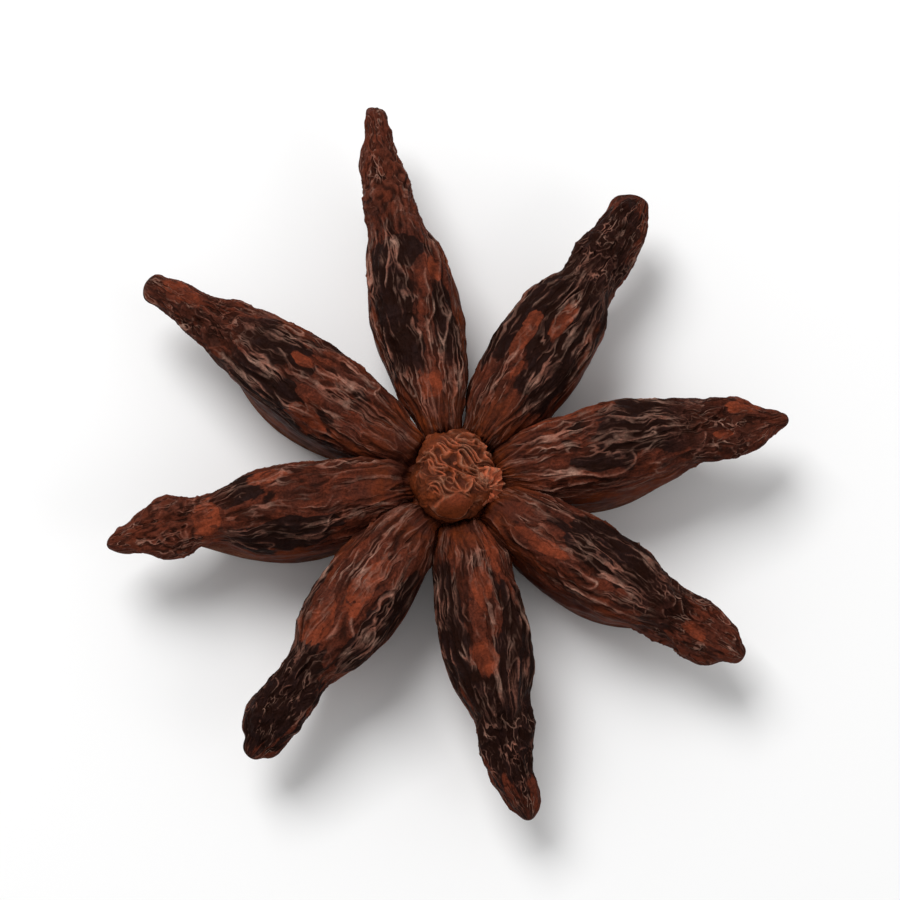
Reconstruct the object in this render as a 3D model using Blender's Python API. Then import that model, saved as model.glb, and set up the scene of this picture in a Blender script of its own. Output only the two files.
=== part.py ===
"""A star anise pod: eight boat-shaped follicles round a short column, with a broken stalk stub.

The pod lies on its open side, as it does when it is put down with its stalk up. Each ripe follicle
has split along its seam, which faces the table, and six of them still hold a seed.

Frame: +Z up, away from the table. The origin is the middle of the pod's box, on the table.
Every size is in millimetres. MM turns it into metres as a vertex is made.
"""

import math
from typing import NamedTuple

import bmesh
import bpy
import numpy as np
from mathutils import Matrix, Vector

MM = 0.001

# The column's axis, seen from the middle of the pod's box.
HUB_X = 0.183
HUB_Y = -2.319

# Heights over the table that the follicles share.
COLUMN_FOOT = 3.0
COLUMN_TOP = 6.7
COLUMN_RADIUS = 3.1
SEAM_AT_BEAK = 3.3
KEEL_AT_BELLY = 8.8
PRESSED_FLAT = 0.14

# The husk's wall.
LIP = 0.62
SIDE_WALL = 0.80
KEEL_WALL = 1.35

# How finely the solids are faceted.
SECTION_STEPS = 7
BODY_STATIONS = 13
TIP_ANGLES = (35, 65, 84)
CAVITY_STATIONS = 11
ROUND_STEPS = 16

# A follicle's root is buried in the column this far from the axis.
ROOT_RADIUS = 2.2

# Distances from the column's axis where a keel climbs out of the groove round the stub.
KEEL_CLIMB = (2.4, 3.0, 4.0)

# A share of the follicle's reach, from the column's axis (0) to the tip of the beak (1).
ROOT = 0.05
SHOULDER = 0.25
BELLY = 0.45
SLIT_START = 0.12
SLIT_END = 0.76

# The widest part of a section, as a share of its height, and how square its keel is.
WIDEST = 0.58
KEEL_POWER = 2.5

HUSK_COLOUR = (0.075, 0.024, 0.014, 1.0)
SEED_COLOUR = (0.250, 0.050, 0.014, 1.0)


class Follicle(NamedTuple):
    """One arm of the star. Widths are full widths, and azimuth is in degrees from +X towards +Y."""

    azimuth: float
    reach: float
    body: float
    waist: float
    knob: float
    tip: float
    waist_at: float
    knob_at: float
    gape: float
    lift: float
    droop: float
    swerve: float
    seed: float


FOLLICLES = (
    Follicle(101.8, 25.7, 6.0, 4.1, 3.3, 1.1, 0.66, 0.83, 3.0, 0.0, 0.0, 0.10, 1.00),
    Follicle(57.0, 22.6, 6.3, 3.7, 3.9, 2.7, 0.70, 0.85, 3.4, 0.3, 0.3, 0.20, 0.96),
    Follicle(12.4, 21.3, 6.1, 4.6, 4.0, 1.2, 0.70, 0.84, 3.9, 0.0, -0.3, -0.40, 0.00),
    Follicle(-31.4, 20.7, 5.7, 3.9, 3.8, 2.6, 0.68, 0.84, 2.8, 0.0, 0.4, 0.10, 0.92),
    Follicle(-78.7, 21.0, 5.9, 4.3, 3.7, 1.6, 0.68, 0.80, 3.2, 0.2, 0.9, 0.50, 0.98),
    Follicle(-127.4, 20.8, 5.9, 3.4, 3.5, 2.5, 0.70, 0.86, 0.0, 0.0, 0.3, 0.40, 0.00),
    Follicle(-170.7, 21.6, 5.9, 3.3, 4.0, 1.1, 0.69, 0.79, 3.3, 0.0, -0.2, 0.35, 1.02),
    Follicle(145.0, 23.5, 5.9, 3.6, 3.2, 2.1, 0.76, 0.88, 3.6, 0.1, -0.1, 0.25, 0.95),
)

# The seed: a flattened egg that lies along the follicle, on edge.
SEED_LENGTH = 7.4
SEED_HEIGHT = 5.0
SEED_THICKNESS = 3.2
SEED_RADIUS_FROM_AXIS = 9.7
SEED_CENTRE_HEIGHT = 3.9
SEED_TAPER = 0.16

# The stalk stub, and the broken end where the stalk snapped off it.
STUB_RADIUS = 2.5
STUB_TOP = 9.5
STUB_TILT = 8.0
STUB_LEANS_TOWARDS = -23.0
SCAR_RADIUS = 1.05
SCAR_OFFSET = 2.3
SCAR_HEIGHT = 8.35
SCAR_TILT = 44.0


def monotone_curve(knots, values, at):
    """A smooth curve through the knots that never overshoots: cubic Hermite with limited slopes."""
    knots = np.asarray(knots, float)
    values = np.asarray(values, float)
    rise = np.diff(values) / np.diff(knots)
    same_way = rise[:-1] * rise[1:] > 0
    slopes = np.zeros(len(knots))
    slopes[1:-1][same_way] = 2 / (1 / rise[:-1][same_way] + 1 / rise[1:][same_way])
    slopes[0] = rise[0]
    slopes[-1] = rise[-1]
    at = np.clip(at, knots[0], knots[-1])
    span = np.clip(np.searchsorted(knots, at, side="right") - 1, 0, len(knots) - 2)
    width = knots[span + 1] - knots[span]
    u = (at - knots[span]) / width
    start, end = values[span], values[span + 1]
    return (
        start * (1 + 2 * u) * (1 - u) ** 2
        + slopes[span] * width * u * (1 - u) ** 2
        + end * u**2 * (3 - 2 * u)
        + slopes[span + 1] * width * u**2 * (u - 1)
    )


def tip_rounding(f, t):
    """The share of its size that a section keeps near the tip, which ends as an ellipse does."""
    radius = 0.45 * f.tip + 0.45
    into_tip = np.clip((t * f.reach - (f.reach - radius)) / radius, 0, 1)
    return np.sqrt(1 - into_tip**2)


def half_width(f, t):
    """Half of the follicle's width across its keel."""
    knots = (ROOT, 0.14, SHOULDER, BELLY, 0.58, f.waist_at, f.knob_at, 1.0)
    widths = (2.2, 3.2, 0.84 * f.body, f.body, 0.90 * f.body, f.waist, f.knob, f.tip)
    return monotone_curve(knots, np.multiply(widths, 0.5), t)


def seam_height(f, t):
    """The height of the seam, which dips from the column to the table and rises to the beak."""
    low = f.lift - PRESSED_FLAT
    knots = (ROOT, 0.16, 0.30, BELLY, 0.60, 0.73, 0.84, 1.0)
    heights = (COLUMN_FOOT + 0.4, 2.5, low + 0.9, low, low + 0.9, 2.6, SEAM_AT_BEAK, 3.9)
    return monotone_curve(knots, heights, t) - f.droop * t**3


def keel_height(f, t):
    """The height of the keel, which rises steeply beside the stub and falls towards the beak."""
    climb = (distance / f.reach for distance in KEEL_CLIMB)
    knots = (ROOT, *climb, 0.31, BELLY, 0.60, 0.73, 0.84, 1.0)
    heights = (6.1, 6.4, 7.4, 8.1, 8.6, KEEL_AT_BELLY, 8.4, 7.4, 6.9, 5.9)
    return monotone_curve(knots, heights, t) - f.droop * t**3


def half_gape(f, t):
    """Half of the open slit's width at the lips: nothing at either end, and widest at the belly."""
    along = np.clip((t - SLIT_START) / (SLIT_END - SLIT_START), 0, 1)
    return 0.5 * f.gape * np.sin(math.pi * along) ** 0.85


def sideways(f, t):
    """How far the beak swerves sideways off the follicle's own line."""
    past_waist = np.clip((t - 0.6) / 0.4, 0, 1)
    return f.swerve * past_waist**2


def outer_section(f, t):
    """The follicle's outline at t, as (sideways, height) from one lip over the keel to the other."""
    rounding = float(tip_rounding(f, t))
    wide = float(half_width(f, t)) * rounding
    low, high = float(seam_height(f, t)), float(keel_height(f, t))
    middle, half = (low + high) / 2, (high - low) / 2 * rounding
    low, high = middle - half, middle + half
    shut_lip = min(LIP, 0.55 * wide)
    lip = min(float(half_gape(f, t)) + shut_lip, 1.04 * wide)
    waterline = low + WIDEST * (high - low)
    side = []
    for step in range(3):
        share = step / 3
        out = lip + (wide - lip) * math.sin(math.pi / 2 * share)
        side.append((out, low + (waterline - low) * share))
    for step in range(SECTION_STEPS - 2):
        angle = math.pi / 2 * step / (SECTION_STEPS - 2)
        out = wide * math.cos(angle) ** (2 / KEEL_POWER)
        side.append((out, waterline + (high - waterline) * math.sin(angle) ** (2 / KEEL_POWER)))
    crown = [(0.0, high)]
    return side + crown + [(-out, height) for out, height in reversed(side)]


def cavity_section(f, t):
    """The cavity's outline at t: a straight throat through the lips, and a rounded chamber."""
    low = float(seam_height(f, t))
    lip = float(half_gape(f, t))
    along = (t - SLIT_START) / (SLIT_END - SLIT_START)
    roof = float(keel_height(f, t)) - KEEL_WALL
    fullness = math.sin(math.pi * min(max(along, 0.0), 1.0)) ** 0.5
    roof = low + 0.5 + (roof - low - 0.5) * fullness
    chamber = max(float(half_width(f, t)) - SIDE_WALL, 0.2) * fullness
    chamber = max(chamber, lip)
    waterline = low + 0.5 * (roof - low)
    side = [(lip, low - 1.2), (lip, low)]
    side.append((lip + (chamber - lip) * 0.8, low + 0.5 * (waterline - low)))
    for angle in (0, 35, 65):
        turn = math.radians(angle)
        side.append((chamber * math.cos(turn), waterline + (roof - waterline) * math.sin(turn)))
    return side + [(0.0, roof)] + [(-out, height) for out, height in reversed(side)]


def follicle_matrix(f):
    """Places a follicle's own frame, whose +X runs along it, on the column's axis."""
    turn = Matrix.Rotation(math.radians(f.azimuth), 4, "Z")
    return Matrix.Translation(Vector((HUB_X, HUB_Y, 0)) * MM) @ turn


def material(name, colour, roughness):
    made = bpy.data.materials.new(name)
    made.use_nodes = True
    surface = made.node_tree.nodes["Principled BSDF"]
    surface.inputs["Base Color"].default_value = colour
    surface.inputs["Roughness"].default_value = roughness
    surface.inputs["Metallic"].default_value = 0.0
    return made


def object_from(name, bm, finish, matrix):
    """Closes a bmesh into a named, smooth object whose faces point outwards."""
    bmesh.ops.recalc_face_normals(bm, faces=bm.faces)
    mesh = bpy.data.meshes.new(name)
    bm.to_mesh(mesh)
    bm.free()
    mesh.materials.append(finish)
    mesh.shade_smooth()
    made = bpy.data.objects.new(name, mesh)
    made.matrix_world = matrix
    bpy.context.scene.collection.objects.link(made)
    return made


def loft(name, rings, finish, matrix):
    """A solid through closed rings of points, bridged in turn and capped at both ends."""
    bm = bmesh.new()
    loops = []
    for ring in rings:
        verts = [bm.verts.new(Vector(point) * MM) for point in ring]
        loops.append([bm.edges.new((a, b)) for a, b in zip(verts, verts[1:] + verts[:1])])
    for near, far in zip(loops, loops[1:]):
        bmesh.ops.bridge_loops(bm, edges=near + far)
    for end in (loops[0], loops[-1]):
        bmesh.ops.edgeloop_fill(bm, edges=end)
    return object_from(name, bm, finish, matrix)


def turned(name, profile, finish, matrix):
    """A round solid, made by spinning a profile of (radius, height) that starts and ends on the axis."""
    bm = bmesh.new()
    verts = [bm.verts.new(Vector((radius, 0, height)) * MM) for radius, height in profile]
    line = [bm.edges.new(pair) for pair in zip(verts, verts[1:])]
    bmesh.ops.spin(
        bm,
        geom=verts + line,
        cent=(0, 0, 0),
        axis=(0, 0, 1),
        angle=2 * math.pi,
        steps=ROUND_STEPS,
        use_merge=True,
    )
    bmesh.ops.remove_doubles(bm, verts=bm.verts, dist=0.0001 * MM)
    return object_from(name, bm, finish, matrix)


def helper(obj):
    """Marks an object that only joins or cuts another one."""
    obj.hide_render = True
    obj.display_type = "WIRE"
    return obj


def boolean(obj, other, operation):
    step = obj.modifiers.new(other.name, "BOOLEAN")
    step.operation = operation
    step.solver = "EXACT"
    step.object = other


def follicle_body(name, f, finish):
    tip_radius = 0.45 * f.tip + 0.45
    straight = np.linspace(ROOT_RADIUS / f.reach, 1 - tip_radius / f.reach, BODY_STATIONS)
    rounded = [1 - tip_radius / f.reach * (1 - math.sin(math.radians(a))) for a in TIP_ANGLES]
    rings = []
    for t in (*straight, *rounded):
        off = float(sideways(f, t))
        rings.append([(t * f.reach, out + off, height) for out, height in outer_section(f, t)])
    return loft(name, rings, finish, follicle_matrix(f))


def follicle_cavity(name, f, finish):
    rings = []
    for t in np.linspace(SLIT_START, SLIT_END, CAVITY_STATIONS)[1:-1]:
        off = float(sideways(f, t))
        rings.append([(t * f.reach, out + off, height) for out, height in cavity_section(f, t)])
    return loft(name, rings, finish, follicle_matrix(f))


def column(finish):
    profile = (
        (0, COLUMN_FOOT),
        (1.5, COLUMN_FOOT),
        (2.5, COLUMN_FOOT + 0.5),
        (COLUMN_RADIUS, COLUMN_FOOT + 1.5),
        (COLUMN_RADIUS, COLUMN_TOP - 0.6),
        (0.85 * COLUMN_RADIUS, COLUMN_TOP),
        (0, COLUMN_TOP),
    )
    return turned("husk", profile, finish, Matrix.Translation(Vector((HUB_X, HUB_Y, 0)) * MM))


def stub(finish):
    """The stalk's thick foot: a low dome that leans to one side."""
    profile = (
        (0, 5.4),
        (0.86 * STUB_RADIUS, 5.4),
        (STUB_RADIUS, 7.2),
        (STUB_RADIUS, 8.2),
        (0.84 * STUB_RADIUS, STUB_TOP - 0.5),
        (0.45 * STUB_RADIUS, STUB_TOP - 0.05),
        (0, STUB_TOP),
    )
    lean = Matrix.Rotation(math.radians(STUB_LEANS_TOWARDS), 4, "Z")
    tilt = Matrix.Rotation(math.radians(STUB_TILT), 4, "Y")
    foot = Vector((HUB_X, HUB_Y, 6.0)) * MM
    place = Matrix.Translation(foot) @ lean @ tilt @ Matrix.Translation(Vector((0, 0, -6.0)) * MM)
    return turned("stub", profile, finish, place)


def scar(finish):
    """The broken end of the stalk, a short ring on the low side of the stub."""
    profile = ((0, -1.4), (SCAR_RADIUS, -1.4), (SCAR_RADIUS, 0.25), (0.6, 0.35), (0.35, 0.1), (0, 0.1))
    lean = Matrix.Rotation(math.radians(STUB_LEANS_TOWARDS), 4, "Z")
    tilt = Matrix.Rotation(math.radians(SCAR_TILT), 4, "Y")
    hub = Matrix.Translation(Vector((HUB_X, HUB_Y, 0)) * MM)
    out = Matrix.Translation(Vector((SCAR_OFFSET, 0, SCAR_HEIGHT)) * MM)
    return turned("scar", profile, finish, hub @ lean @ out @ tilt)


def below_table(finish):
    """A block whose top is the table, which presses small flat rests onto the lowest lips."""
    bm = bmesh.new()
    bmesh.ops.create_cube(bm, size=1.0)
    bmesh.ops.scale(bm, vec=Vector((80, 80, 10)) * MM, verts=bm.verts)
    bmesh.ops.translate(bm, vec=Vector((0, 0, -5)) * MM, verts=bm.verts)
    return object_from("below_table", bm, finish, Matrix.Identity(4))


def seed(name, f, finish):
    """A flattened egg on edge, blunt towards the beak and tapered towards the column."""
    bm = bmesh.new()
    bmesh.ops.create_uvsphere(bm, u_segments=14, v_segments=9, radius=1.0)
    bmesh.ops.rotate(bm, verts=bm.verts, matrix=Matrix.Rotation(math.pi / 2, 3, "Y"))
    half = Vector((SEED_LENGTH, SEED_THICKNESS, SEED_HEIGHT)) * (f.seed / 2)
    for v in bm.verts:
        taper = 1 + SEED_TAPER * v.co.x - 0.5 * SEED_TAPER
        v.co = Vector((v.co.x * half.x, v.co.y * half.y * taper, v.co.z * half.z * taper)) * MM
    centre = Vector((SEED_RADIUS_FROM_AXIS, 0, SEED_CENTRE_HEIGHT + f.lift)) * MM
    return object_from(name, bm, finish, follicle_matrix(f) @ Matrix.Translation(centre))


def main():
    for obj in list(bpy.data.objects):
        bpy.data.objects.remove(obj)
    husk_finish = material("husk", HUSK_COLOUR, 0.62)
    seed_finish = material("seed", SEED_COLOUR, 0.18)
    husk = column(husk_finish)
    for number, f in enumerate(FOLLICLES, 1):
        boolean(husk, helper(follicle_body(f"body_{number}", f, husk_finish)), "UNION")
    boolean(husk, helper(stub(husk_finish)), "UNION")
    boolean(husk, helper(scar(husk_finish)), "UNION")
    for number, f in enumerate(FOLLICLES, 1):
        if f.gape:
            boolean(husk, helper(follicle_cavity(f"cavity_{number}", f, husk_finish)), "DIFFERENCE")
        if f.seed:
            seed(f"seed_{number}", f, seed_finish)
    boolean(husk, helper(below_table(husk_finish)), "DIFFERENCE")


main()
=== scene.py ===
"""The look of a star anise pod: wrinkled bark, worn patches, thin lips, a torn stub and glossy seeds.

Every piece is a surface worked out with numpy on a grid, in millimetres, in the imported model's frame.
"""

import math
from typing import NamedTuple

import bpy
import numpy as np
from bpy.props import FloatProperty, FloatVectorProperty, PointerProperty
from mathutils import Euler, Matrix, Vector


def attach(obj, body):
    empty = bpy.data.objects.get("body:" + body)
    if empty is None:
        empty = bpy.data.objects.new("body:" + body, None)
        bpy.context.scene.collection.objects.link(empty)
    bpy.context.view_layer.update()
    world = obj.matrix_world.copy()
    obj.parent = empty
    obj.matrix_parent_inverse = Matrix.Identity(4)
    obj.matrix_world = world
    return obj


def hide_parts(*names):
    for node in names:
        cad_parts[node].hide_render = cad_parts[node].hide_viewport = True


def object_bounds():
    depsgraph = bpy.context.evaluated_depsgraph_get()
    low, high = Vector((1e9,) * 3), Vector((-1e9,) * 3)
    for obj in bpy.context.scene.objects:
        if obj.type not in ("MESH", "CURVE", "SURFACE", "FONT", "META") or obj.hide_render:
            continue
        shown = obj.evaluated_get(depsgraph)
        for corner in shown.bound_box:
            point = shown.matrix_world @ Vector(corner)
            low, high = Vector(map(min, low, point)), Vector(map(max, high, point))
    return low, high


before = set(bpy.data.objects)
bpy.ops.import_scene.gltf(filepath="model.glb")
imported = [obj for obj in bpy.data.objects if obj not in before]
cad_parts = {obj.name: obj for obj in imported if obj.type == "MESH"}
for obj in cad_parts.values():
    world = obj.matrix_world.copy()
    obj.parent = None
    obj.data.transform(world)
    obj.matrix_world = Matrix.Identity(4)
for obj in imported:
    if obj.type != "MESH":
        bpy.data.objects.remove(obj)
CAD_LOW, CAD_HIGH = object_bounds()

bl_info = {
    "name": "Star Anise Pod",
    "version": (1, 0, 0),
    "blender": (4, 5, 0),
    "location": "3D View > Sidebar > Star Anise",
    "description": "Builds a weathered star anise pod round its packed solids",
    "category": "Add Mesh",
}

MM = 0.001

# A follicle's shape, as shares of its reach from the column's axis (0) to the beak's tip (1).
ROOT = 0.055
SLIT_START = 0.12
SLIT_END = 0.76
WIDEST = 0.58
KEEL_POWER = 2.5
CHAMBER_POWER = 2.2

# How many points a follicle's grid has along it, and on each stretch of half its section.
STATIONS = 336
TIP_STATIONS = 24
KEEL_POINTS = 92
FLANK_POINTS = 28
LIP_POINTS = 7
CHAMBER_POINTS = 20

# The width that patterns take each unit of girth to be, so that they narrow as the follicle does.
GIRTH_WIDTH = 2.9

# How far off a pattern is probed for its slope, in millimetres, and the least slope it may have.
PROBE = 0.02
LEAST_SLOPE = 0.009

# Passes of blurring that leave the skin's own level, and the level of its slow swells.
LEVEL_PASSES = 7
SWELL_PASSES = 45

# The smaller pieces' grids: how many rings, and how many points on each.
COLUMN_GRID = (90, 120)
STUB_GRID = (260, 330)
SCAR_GRID = (150, 260)
SEED_GRID = (90, 96)
SEED_TAPER = 0.16

# The stub: angles in degrees, and the places and half sizes of its folds and its smooth flap.
STUB_TILT = 8.0
STUB_LEANS_TOWARDS = -23.0
STRAND_FLOW = -33.0
FOLDS_CENTRE = (0.0, 0.35)
FOLDS_SIZE = (2.2, 2.0)
FLAP_CENTRE = (-0.35, -1.95, 8.75)
FLAP_SIZE = (1.30, 0.85, 0.95)

# The stalk's snapped end: which way it rises and where its pit is, as shares of its radius, and its place.
SCAR_UPHILL = (0.6, 0.8)
SCAR_PIT = (-0.25, -0.30)
SCAR_OFFSET = 2.35
SCAR_HEIGHT = 8.35
SCAR_TILT = 46.0

# Depths of the skins' fine relief, in metres.
HUSK_RELIEF = 0.00009
STUB_RELIEF = 0.00006

# The lights' places and sizes and half the floor's width, in spans of the pod.
KEY_PLACE = (-2.2, 3.2, 6.5)
KEY_SIZE = 4.0
SIDE_PLACE = (4.5, -2.5, 4.0)
SIDE_SIZE = 3.0
FLOOR_HALF = 40


class Patch(NamedTuple):
    """An oval on a keel: its middle and its half sizes, along and across, in millimetres."""

    along: float
    across: float
    length: float
    width: float


class Follicle(NamedTuple):
    """One arm of the star.

    Widths are full widths, azimuth is in degrees from +X towards +Y, worn and burnt are patches, and
    blush is how far the beak turns to the reddish tone.
    """

    azimuth: float
    reach: float
    body: float
    waist: float
    knob: float
    tip: float
    waist_at: float
    knob_at: float
    gape: float
    lift: float
    droop: float
    swerve: float
    seed: float
    flare_left: float
    flare_right: float
    blush: float
    worn: tuple
    burnt: tuple


FOLLICLES = (
    Follicle(101.8, 25.7, 6.0, 4.1, 3.3, 1.1, 0.66, 0.83, 3.0, 0.0, 0.0, 0.10, 1.00, 0.8, 0.0, 0.9,
             (Patch(5.6, 0.2, 0.9, 0.75), Patch(10.6, -0.4, 0.6, 0.5), Patch(13.0, -1.5, 1.1, 0.4)),
             (Patch(10.8, 1.4, 4.6, 1.1), Patch(8.8, -1.5, 3.4, 0.6), Patch(14.6, 0.3, 1.0, 1.1))),
    Follicle(57.0, 22.6, 6.3, 3.7, 3.9, 2.7, 0.70, 0.85, 3.4, 0.3, 0.3, 0.2, 0.96, 0.0, 0.3, 0.1,
             (Patch(11.6, -0.5, 1.9, 0.5), Patch(9.6, 1.0, 1.6, 0.5), Patch(7.4, 0.2, 0.8, 0.25)),
             (Patch(13.9, 0.0, 4.2, 2.6), Patch(8.8, -1.5, 3.0, 1.0), Patch(10.6, 2.2, 3.0, 0.8),
              Patch(18.5, 0.3, 3.0, 1.2))),
    Follicle(12.4, 21.3, 6.1, 4.6, 4.0, 1.2, 0.70, 0.84, 3.9, 0.0, -0.3, -0.4, 0.00, 0.9, 0.0, 0.6,
             (Patch(18.4, 0.7, 1.2, 0.6), Patch(7.2, 2.3, 2.6, 0.45), Patch(16.9, -0.9, 0.7, 0.3)),
             (Patch(13.4, 0.6, 4.6, 1.8), Patch(16.4, -0.6, 2.2, 1.4), Patch(9.5, -1.2, 2.0, 0.5))),
    Follicle(-31.4, 20.7, 5.7, 3.9, 3.8, 2.6, 0.68, 0.84, 2.8, 0.0, 0.4, 0.1, 0.92, 0.2, 0.2, 0.25,
             (Patch(17.4, -0.3, 0.9, 0.45), Patch(7.0, -1.0, 1.8, 0.5)),
             (Patch(11.5, 0.8, 4.0, 1.4), Patch(14.8, 0.0, 1.8, 1.5))),
    Follicle(-78.7, 21.0, 5.9, 4.3, 3.7, 1.6, 0.68, 0.80, 3.2, 0.2, 0.9, 0.5, 0.98, 0.3, 0.0, 0.0,
             (Patch(11.5, -0.3, 1.3, 0.7), Patch(5.0, 1.3, 1.9, 0.45), Patch(7.4, 0.3, 1.8, 0.6)),
             (Patch(9.0, -2.0, 4.2, 0.8), Patch(14.8, 0.2, 3.6, 1.9), Patch(11.0, 2.0, 3.2, 0.8))),
    Follicle(-127.4, 20.8, 5.9, 3.4, 3.5, 2.5, 0.70, 0.86, 0.0, 0.0, 0.3, 0.4, 0.00, 0.0, 0.0, 0.0,
             (Patch(9.0, 0.1, 2.5, 0.8), Patch(12.1, -0.7, 1.7, 0.8)),
             (Patch(10.8, 2.4, 4.0, 0.9), Patch(16.8, 0.0, 3.2, 1.7), Patch(12.0, -2.5, 2.4, 0.5))),
    Follicle(-170.7, 21.6, 5.9, 3.3, 4.0, 1.1, 0.69, 0.79, 3.3, 0.0, -0.2, 0.35, 1.02, 0.0, 0.7, 1.0,
             (Patch(15.2, 0.2, 0.9, 1.3), Patch(11.4, -1.5, 1.4, 0.5)),
             (Patch(13.3, -0.9, 1.6, 0.9), Patch(11.0, 1.9, 3.2, 0.7), Patch(16.6, -0.6, 0.8, 1.0))),
    Follicle(145.0, 23.5, 5.9, 3.6, 3.2, 2.1, 0.76, 0.88, 3.6, 0.1, -0.1, 0.25, 0.95, 0.35, 0.0, 0.6,
             (Patch(9.4, 2.2, 1.5, 0.5), Patch(11.7, -0.5, 0.8, 0.4), Patch(20.9, -0.3, 1.6, 0.6)),
             (Patch(12.5, 2.1, 4.0, 0.9), Patch(14.2, -0.4, 2.8, 1.1), Patch(18.2, 0.9, 2.2, 0.8))),
)


# ---- Settings ----


def length(name, description, millimetres):
    """A length that a user can change, stored in metres as Blender does."""
    return FloatProperty(
        name=name, description=description, default=millimetres * MM, unit="LENGTH", precision=5
    )


def colour(name, description, rgb):
    """A linear colour that a user can change."""
    return FloatVectorProperty(
        name=name, description=description, default=rgb, size=3, min=0.0, max=1.0, subtype="COLOR"
    )


def share(name, description, value):
    """A number from 0 to 1 that a user can change."""
    return FloatProperty(
        name=name, description=description, default=value, min=0.0, max=1.0, subtype="FACTOR"
    )


class PodShape(bpy.types.PropertyGroup):
    """The sizes that the pod's pieces share."""

    column_x: length("Column X", "Column's axis from the middle of the pod's box", 0.183)
    column_y: length("Column Y", "Column's axis from the middle of the pod's box", -2.319)
    column_foot: length("Column Foot", "Height of the column's underside", 3.0)
    column_top: length("Column Top", "Height of the groove round the stub", 6.5)
    column_radius: length("Column Radius", "Half the width of the column", 3.0)
    belly_height: length("Belly Height", "Height of the keel at its highest", 8.8)
    seam_height: length("Seam Height", "Height of the seam under the beak", 3.3)
    lip: length("Lip", "Thickness of the split seam's lip", 0.55)
    side_wall: length("Side Wall", "Thickness of a follicle's side", 0.8)
    keel_wall: length("Keel Wall", "Thickness of a follicle's keel", 1.35)
    lump: length("Lumps", "Depth of the slow unevenness", 0.26)
    dent: length("Dents", "Depth of the hollows a few millimetres wide", 0.22)
    crest: length("Crests", "Height of the long wrinkles", 0.16)
    crest_width: length("Crest Width", "Half the width of a wrinkle's crest", 0.08)
    crest_spacing: length("Crest Spacing", "Distance across from one long wrinkle to the next", 0.58)
    beak_crest: length("Beak Crests", "Height of the tangled wrinkles on the beaks", 0.17)
    shrink: length("Shrink", "How far the smooth form sinks to make room for the wrinkles", 0.22)
    seed_length: length("Seed Length", "Length of a seed", 7.4)
    seed_height: length("Seed Height", "Height of a seed on edge", 5.0)
    seed_thickness: length("Seed Thickness", "Thickness of a seed", 3.2)
    seed_place: length("Seed Place", "Seed's middle from the column's axis", 9.7)
    seed_rise: length("Seed Rise", "Height of a seed's middle over the lips", 3.9)
    stub_radius: length("Stub Radius", "Half the width of the stalk's stub", 2.45)
    stub_top: length("Stub Top", "Height of the top of the stub", 9.5)
    scar_radius: length("Scar Radius", "Half the width of the snapped stalk", 1.12)


class PodColours(bpy.types.PropertyGroup):
    """The pod's colours, as linear values."""

    bark: colour("Bark", "Keels between the wrinkles", (0.062, 0.0158, 0.0092))
    ruddy: colour("Ruddy Bark", "Second tone of the keels", (0.098, 0.0210, 0.0100))
    burnt: colour("Burnt Bark", "Nearly black patches", (0.0150, 0.0060, 0.0050))
    # Crests and Pale Crests colour the wrinkles' tops paler: partly a paler tone of their own, partly
    # painted highlight.
    crest: colour("Crests", "Tops of the wrinkles", (0.285, 0.112, 0.076))
    crest_pale: colour("Pale Crests", "Second tone of the wrinkles' tops", (0.330, 0.185, 0.138))
    # Painted shade: the colour laid in the wrinkles' bottoms and in the stub's gaps; also the burnt patches'
    # second tone.
    painted_shade: colour("Painted Shade", "Bottoms of the wrinkles", (0.0120, 0.0036, 0.0020))
    beak: colour("Beaks", "Reddish tone of the beaks", (0.110, 0.029, 0.0160))
    rub: colour("Rubbed Patches", "Where the skin has worn away", (0.205, 0.040, 0.0160))
    flank: colour("Flanks", "Smooth sides of the follicles", (0.034, 0.0045, 0.0014))
    root: colour("Roots", "Keels beside the stub", (0.138, 0.0265, 0.0066))
    lip: colour("Lips", "Edges of the split seams", (0.260, 0.130, 0.082))
    lining: colour("Lining", "Inside of the follicles", (0.330, 0.088, 0.0150))
    stub: colour("Stub", "Stalk's stub", (0.082, 0.0190, 0.0068))
    # Stub Crests: paler ridges on the stub, partly painted highlight.
    stub_crest: colour("Stub Crests", "Ridges on the stub", (0.290, 0.125, 0.074))
    torn: colour("Torn Fibres", "Broken end of the stalk", (0.400, 0.095, 0.042))
    seed: colour("Seeds", "Seed coats", (0.230, 0.042, 0.0085))
    seed_dark: colour("Seed Ends", "Darker tone of the seed coats", (0.090, 0.016, 0.005))


class PodStage(bpy.types.PropertyGroup):
    """The camera, the lights and the floor."""

    azimuth: FloatProperty(
        name="Camera Azimuth", description="Direction of view", default=0.0, subtype="ANGLE"
    )
    elevation: FloatProperty(
        name="Camera Elevation", description="Angle over the table", default=math.radians(75.0),
        subtype="ANGLE",
    )
    lens: FloatProperty(name="Lens", description="Focal length", default=95.0, unit="CAMERA")
    fill_share: share("Framing", "How much of the picture's side the pod takes", 0.815)
    floor: colour("Floor", "Pale table", (0.86, 0.86, 0.86))
    key: FloatProperty(name="Key Light", description="Main softbox", default=0.95, unit="POWER")
    rim: FloatProperty(name="Side Light", description="Side softbox", default=0.10, unit="POWER")
    sky: FloatProperty(name="Sky", description="Strength of the white surroundings", default=0.50)


# ---- Noise ----

SLOPES = np.random.default_rng(11).normal(size=(256, 3))
SLOPES /= np.linalg.norm(SLOPES, axis=1, keepdims=True)
NOISE_GAIN = 1.7
HASH_STEPS = (73856093, 19349663, 83492791, 2654435761)
HASH_MIX = (2246822519, 3266489917)
HASH_LIMIT = 2**32


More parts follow.
